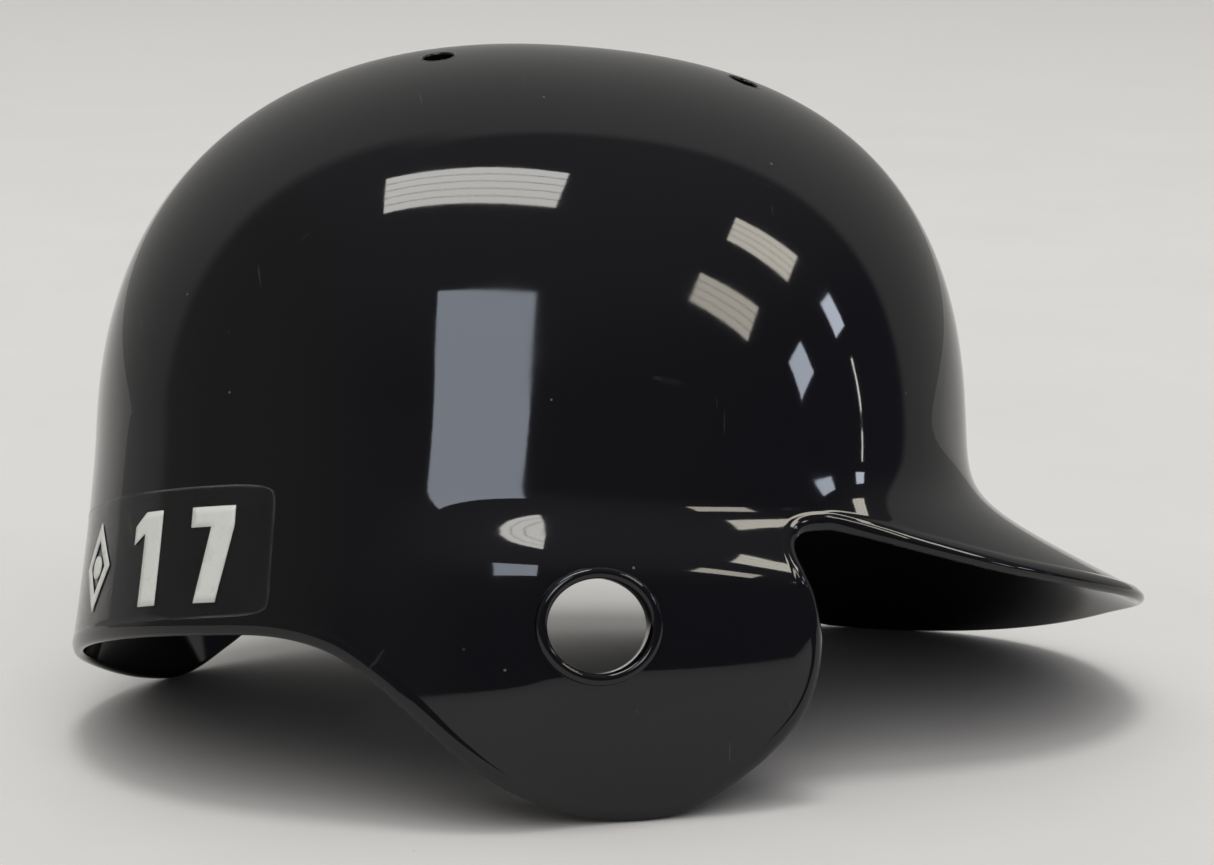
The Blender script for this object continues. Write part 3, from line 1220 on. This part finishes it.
def comfort_pad(name, finishes, stitches):
    """Knit-faced foam pad: puffed as cloth, sewn in channels, bound round its edge and stitched."""
    place = zone_place(name, PAD_INSET)
    outer, inner = PAD_TOP + PAD_SKIN, PAD_TOP + PAD - PAD_ROOM
    points, faces = block(place, outer, inner, 60, 30, True, domed)
    walk, still = np.linspace(-1, 1, 40), np.zeros(40)
    long, high = cloth_length(place, walk, still), cloth_length(place, still, walk)
    find = pad_lookup(place, outer, inner)
    puff = swollen(mesh_of(name, points, faces), PAD_VOXEL, PAD_PUFF)
    sewn(puff, place, find, SEAM_WIDE / (long / 2))
    soft = subdivided(puff)
    found = np.array([find(p) for p in off_table(vertex_array(soft))])
    laid_cloth(soft, found[:, 0] * long / 2, found[:, 1] * high / 2)
    pad = piece(name + "_comfort_pad", soft, finishes["knit"], "pad_cloth", name + "_pad")
    edge = layer(*place(*square_loop(240, 1.0)), np.full(240, outer + BINDING_DEEP), True)
    binding_tape(name + "_pad_binding", edge, finishes["binding"])
    rim = [path_on(soft, *place(*square_loop(200, RIM_ROW)), inner, True)]
    seam = np.linspace(-SEAM_ROW, SEAM_ROW, 40)
    runs = [path_on(soft, *place(np.full(40, line), seam), inner, True) for line in SEAMS]
    sewing = joined_meshes("sewing", stitched(rim, True, stitches), stitched(runs, False, stitches))
    piece(name + "_pad_stitching", sewing, finishes["thread"], "pad_cloth")


def ear_cushion(finishes, stitches):
    """The soft ring round the ear, on its own foam ring."""
    top = WALL + EAR_PAD_GAP
    second = top + EAR_LINER + SEAT
    foam = mesh_of("ear_foam", *ear_ring(1.0, top, top + EAR_LINER))
    piece("ear_foam_ring", foam, finishes["foam"], "foam_liner", "ear_liner")
    ring = mesh_of("ear_soft", *ear_ring(RING_SHARE, second + PAD_SKIN, second + EAR_CUSHION - PAD_ROOM))
    soft = subdivided(swollen(ring, RING_VOXEL, RING_PUFF))
    points = off_table(vertex_array(soft))
    ahead, above = points[:, 0], points[:, 2] - EAR_PAD_HEIGHT
    laid_cloth(soft, np.arctan2(above, ahead) * RING_REACH, np.hypot(above, ahead))
    pad = piece("ear_comfort_ring", soft, finishes["knit"], "pad_cloth", "ear_pad")
    place, count = ear_ring_place(RING_BINDING_SHARE), 160
    around = np.arange(count) * 2 * np.pi / count
    edge = layer(*place(around, np.ones(count)), np.full(count, second + RING_BINDING_DEEP))
    binding_tape("ear_ring_binding", edge, finishes["binding"])
    top = second + EAR_CUSHION
    rows = [path_on(soft, *place(around, np.full(count, mix)), top, False) for mix in RING_ROWS]
    piece("ear_ring_stitching", stitched(rows, True, stitches), finishes["thread"], "pad_cloth")


# ---------------------------------------------------------------- film and graphics
def film_mesh():
    """The band of film, with its cut edge marked so that it can show milky."""
    (a0, a1), (h0, h1) = FILM_AZIMUTH, FILM_HEIGHT

    def place(s, t):
        u, w = rounded(s, t, FILM_CORNER)
        return (a0 + a1) / 2 + (a1 - a0) / 2 * u, profile_at((h0 + h1) / 2 - (h1 - h0) / 2 * w)
    across, down = 150, 44
    points, faces = block(place, -FILM_OUT, -FILM_IN, across, down, False)
    mesh = mesh_of("film", points, faces)
    s, t = np.meshgrid(np.linspace(-1, 1, across + 1), np.linspace(-1, 1, down + 1))
    rim = np.maximum(smooth((np.abs(s) - 0.988) / 0.006), smooth((np.abs(t) - 0.955) / 0.03)).ravel()
    written(mesh, "rim", "FLOAT", "value", np.concatenate([rim, rim]))
    return mesh


def dense(outline):
    """The outline with points added along its straight sides, so that it can bend to the wall."""
    outline = np.array(outline, float)
    points = []
    for a, b in zip(outline, np.roll(outline, -1, 0)):
        parts = max(1, round(float(np.linalg.norm(b - a)) / VINYL_STEP))
        points += [a + (b - a) * k / parts for k in range(parts)]
    return np.array(points)


def cut_flat(rings):
    """Points and triangles that fill an outline, and leave out the hole in it if there is one."""
    across, down = np.arange(-12, 12.1, VINYL_LATTICE), np.arange(-15, 15.1, VINYL_LATTICE)
    lattice = np.stack(np.meshgrid(across, down), -1).reshape(-1, 2)
    keep = inside(lattice, rings[0]) & away_from(lattice, rings[0], 0.5)
    for hole in rings[1:]:
        keep &= ~inside(lattice, hole) & away_from(lattice, hole, 0.5)
    flat = np.vstack(rings + [lattice[keep]])
    edges, start = [], 0
    for ring in rings:
        edges += [(start + k, start + (k + 1) % len(ring)) for k in range(len(ring))]
        start += len(ring)
    made = delaunay_2d_cdt([Vector(p) for p in flat], edges, [], 0, 1e-7, True)
    back = np.array([origins[0] for origins in made[3]])
    triangles = np.array([[back[i] for i in face] for face in made[2]])
    centres = flat[triangles].mean(1)
    solid = inside(centres, rings[0])
    for hole in rings[1:]:
        solid &= ~inside(centres, hole)
    triangles = triangles[solid]
    turned = clockwise(*(flat[triangles[:, k]] for k in range(3)))
    triangles[turned] = triangles[turned][:, ::-1]
    return flat, triangles


def vinyl_mesh(name, outline, hole, azimuth):
    """A flat shape wrapped on the wall; its x runs forward and its y up."""
    rings = [dense(outline)] + ([dense(hole)] if hole is not None else [])
    flat, triangles = cut_flat(rings)
    per_degree = math.radians(1) * float(plan_radius(azimuth))
    where = (azimuth + flat[:, 0] / per_degree, profile_at(MARK_CENTRE + flat[:, 1]))
    count = len(flat)
    points = np.vstack([layer(*where, np.full(count, -depth)) for depth in (MARK_OUT, MARK_IN)])
    faces = [tuple(f) for f in triangles] + [tuple(count + i for i in f[::-1]) for f in triangles]
    start = 0
    for place, ring in enumerate(rings):
        turns_right = (ring * np.roll(ring[:, ::-1], -1, 0) * (1, -1)).sum() < 0
        for k in range(len(ring)):
            a, b = start + k, start + (k + 1) % len(ring)
            side = (b, a, count + a, count + b)
            faces.append(side if turns_right == (place == 1) else side[::-1])
        start += len(ring)
    mesh = mesh_of(name, points, faces)
    mesh.polygons.foreach_set("use_smooth", [k < 2 * len(triangles) for k in range(len(mesh.polygons))])
    return mesh


def digit_one():
    top, side = NUMBER_HIGH / 2, STROKE / 2
    flag = side + 4.2
    return [
        (-side, -top), (side, -top), (side, top), (-side, top),
        (-flag, top - 3.6), (-flag, top - 8.4), (-side, top - 5.6),
    ]


def digit_seven():
    top, side, bar = NUMBER_HIGH / 2, NUMBER_WIDE / 2, STROKE * 0.82
    return [
        (-side + 2.6, -top), (-side + 2.6 + STROKE, -top), (side, top - bar), (side, top), (-side, top),
        (-side, top - bar), (side - STROKE - 0.4, top - bar),
    ]


def rhombus(wide, high):
    return [(0, -high / 2), (wide / 2, 0), (0, high / 2), (-wide / 2, 0)]


def graphics(vinyl, film):
    """The number, the diamond with its ball, and the film under them."""
    opening = rhombus(EMBLEM_WIDE - EMBLEM_LINE * 2.1, EMBLEM_HIGH - EMBLEM_LINE * 3)
    diamond = rhombus(EMBLEM_WIDE, EMBLEM_HIGH)
    ball = list(zip(*oval(EMBLEM_BALL, EMBLEM_BALL, 40)))
    marks = (
        ("number_one_vinyl", "number_digit_one", digit_one(), None, NUMBER_AZIMUTHS[0]),
        ("number_seven_vinyl", "number_digit_seven", digit_seven(), None, NUMBER_AZIMUTHS[1]),
        ("emblem_diamond_vinyl", "emblem_diamond", diamond, opening, EMBLEM_AZIMUTH),
        ("emblem_ball_vinyl", "emblem_ball", ball, None, EMBLEM_AZIMUTH),
    )
    for name, node, outline, hole, azimuth in marks:
        piece(name, vinyl_mesh(name, outline, hole, azimuth), vinyl, "white_vinyl", node)
    piece("clear_rear_film", film_mesh(), film, "clear_film", "clear_film")


# ---------------------------------------------------------------- room, lights and camera
LOOK_AT = Vector((0.0022, 0.0153, 0.0765))
CAMERA_AZIMUTH, CAMERA_ELEVATION, CAMERA_ROLL, CAMERA_DISTANCE, LENS = -13.21, 11.37, 0.374, 0.9287, 95.66
LIGHT_CENTRE = Vector((0.0, -0.06, 0.11))
WARM, COOL, OFF_WHITE, SUNLIT = (1.0, 0.95, 0.83), (0.80, 0.87, 1.0), (1.0, 0.985, 0.93), (1.0, 0.985, 0.96)

# Broad soft lights: the way each comes from, its angle in degrees and its strength.
BROAD_LIGHTS = {
    "overhead": ((0.0, 0.0, 1.0), 15.0, 0.62),
    "overhead_soft": ((0.0, -0.15, 1.0), 35.0, 0.37),
    "front_soft": ((0.0, -0.8, 1.0), 60.0, 0.80),
    "left_soft": ((-0.7, 0.0, 1.0), 60.0, 0.25),
}
# Lit panels: azimuth, elevation, distance, width and height, tilt, radiance, colour and strips.
PANELS = {
    "ceiling_fitting": (-16.7, 72.5, 2.6, (1.56, 0.56), 2.4, 10.5, OFF_WHITE, 5),
    "window": (-6.6, 36.1, 3.0, (1.03, 0.86), -4.0, 5.6, COOL, 1),
    "side_fitting_upper": (63.8, 40.2, 3.0, (0.73, 0.38), -67.0, 9.3, WARM, 4),
    "side_fitting_lower": (44.1, 34.0, 3.0, (0.65, 0.34), -50.0, 7.6, WARM, 4),
    "pane_near": (71.9, 23.1, 3.0, (0.31, 0.20), -84.0, 11.0, COOL, 1),
    "pane_low": (57.8, 20.1, 3.0, (0.25, 0.24), -72.0, 9.5, COOL, 1),
    "pane_slit": (73.6, 13.4, 3.0, (0.022, 0.27), 4.0, 14.0, OFF_WHITE, 1),
}
STRIP_SHARE = 0.93  # of a strip's height that is lit, where a panel has more than one


def direction(azimuth, elevation):
    """Unit vector: azimuth 0 points along -Y and 90 along +X."""
    a, e = math.radians(azimuth), math.radians(elevation)
    return Vector((math.sin(a) * math.cos(e), -math.cos(a) * math.cos(e), math.sin(e)))


def camera():
    data = bpy.data.cameras.new("camera")
    data.lens = LENS
    data.sensor_width = 36.0
    data.clip_start, data.clip_end = 0.05, 60.0
    obj = link(bpy.data.objects.new("camera", data))
    back = direction(CAMERA_AZIMUTH, CAMERA_ELEVATION)
    level = Vector((0, 0, 1)).cross(back).normalized()
    right = Matrix.Rotation(math.radians(CAMERA_ROLL), 3, back) @ level
    up = back.cross(right)
    turn = Matrix((right, up, back)).transposed().to_4x4()
    obj.matrix_world = Matrix.Translation(LOOK_AT + back * CAMERA_DISTANCE) @ turn
    bpy.context.scene.camera = obj


def room():
    """Pale all round to the eye; to the gloss, a pale wall behind the helmet and a dim room before it."""
    world = bpy.data.worlds.new("room")
    world.use_nodes = True
    sky = NodeTree(world.node_tree)
    way = sky.node("ShaderNodeTexCoord").outputs["Generated"]
    along = sky.node("ShaderNodeSeparateXYZ", Vector=way).outputs

    def between(value, low, high):
        settings = {"interpolation_type": "SMOOTHSTEP"}
        made = sky.node("ShaderNodeMapRange", settings, Value=value, From_Min=low, From_Max=high)
        return made.outputs["Result"]

    floor_of_room, ceiling = (0.085, 0.085, 0.115, 1.0), (0.25, 0.245, 0.27, 1.0)
    dim = sky.mixed(between(along["Z"], 0.25, 0.95), floor_of_room, ceiling)
    left_wall = sky.mixed(between(along["X"], -0.35, -0.85), dim, (0.21, 0.205, 0.19, 1.0))
    low_wall, high_wall = (0.36, 0.355, 0.345, 1.0), (0.62, 0.615, 0.60, 1.0)
    behind = sky.mixed(between(along["Z"], 0.05, 1.0), low_wall, high_wall)
    leaning = sky.maths("MULTIPLY_ADD", along["X"], 0.30, along["Y"])
    left_edge, right_edge = between(leaning, 0.0, 0.13), between(along["Y"], -0.01, 0.06)
    edge = sky.mixed(between(along["X"], -0.3, 0.1), left_edge, right_edge)
    seen = sky.mixed(edge, left_wall, behind)
    rays = sky.node("ShaderNodeLightPath").outputs["Is Camera Ray"]
    backdrop = (0.68, 0.67, 0.65, 1.0)
    sky.put(sky.tree.nodes["Background"].inputs["Color"], sky.mixed(rays, seen, backdrop))
    bpy.context.scene.world = world


def table():
    """A wide table top, drawn finer near the helmet."""
    lines = [-40.0, -8.0, -2.0, -0.5, 0.0, 0.5, 2.0, 8.0, 40.0]
    n = len(lines)
    points = [(x, y, 0.0) for x in lines for y in lines]
    corners = [i * n + k for i in range(n - 1) for k in range(n - 1)]
    faces = [(c, c + n, c + n + 1, c + 1) for c in corners]
    mesh = bpy.data.meshes.new("table")
    mesh.from_pydata(points, [], faces)
    mesh.materials.append(table_top())
    link(bpy.data.objects.new("table", mesh))


def broad_light(name, way, angle, strength):
    """Soft even light from one side of the room; it shows in no reflection."""
    data = bpy.data.lights.new(name, "SUN")
    data.angle = math.radians(angle)
    data.energy = strength
    data.color = SUNLIT
    obj = link(bpy.data.objects.new(name, data))
    obj.rotation_euler = Vector(way).to_track_quat("Z", "Y").to_euler()
    obj.visible_glossy = False


def panel(name, azimuth, elevation, distance, size, tilt, radiance, colour, strips):
    """A lit panel that the gloss reflects, in strips one above another; it lights nothing else."""
    way = direction(azimuth, elevation)
    turn = way.to_track_quat("Z", "Y").to_matrix() @ Matrix.Rotation(math.radians(tilt), 3, "Z")
    wide, high = size[0], size[1] / strips
    for k in range(strips):
        data = bpy.data.lights.new(name, "AREA")
        data.shape = "RECTANGLE"
        data.size, data.size_y = wide, high * (STRIP_SHARE if strips > 1 else 1.0)
        data.energy = radiance * wide * high * math.pi
        data.color = colour
        obj = link(bpy.data.objects.new(f"{name}_{k}", data))
        middle = Vector((0.0, (k + 0.5 - strips / 2) * high, 0.0))
        obj.location = LIGHT_CENTRE + way * distance + turn @ middle
        obj.rotation_euler = turn.to_euler()
        obj.visible_camera = False
        obj.visible_diffuse = False


def lights():
    for name, numbers in BROAD_LIGHTS.items():
        broad_light(name, *numbers)
    for name, numbers in PANELS.items():
        panel(name, *numbers)


# ---------------------------------------------------------------- the helmet
def build():
    finishes = {"foam": closed_cell_foam(), "knit": pad_knit(), "binding": edge_binding(), "thread": thread()}
    tape = hook_tape()
    stitches, hooks = stitch_row(finishes["thread"]), hook_field(tape)
    piece("shell_moulding", shell_mesh(), gloss_black(), "shell", "outer_shell")
    for name in list(PADS) + ["crown"]:
        liner_block(name, finishes["foam"])
        for side, label in ((-1, "a"), (1, "b")):
            tape_patch(name, side, label, tape, hooks)
        comfort_pad(name, finishes, stitches)
    ear_cushion(finishes, stitches)
    graphics(white_vinyl(), clear_film())


bpy.context.scene.view_settings.view_transform = "Standard"
camera()
room()
table()
lights()
build()
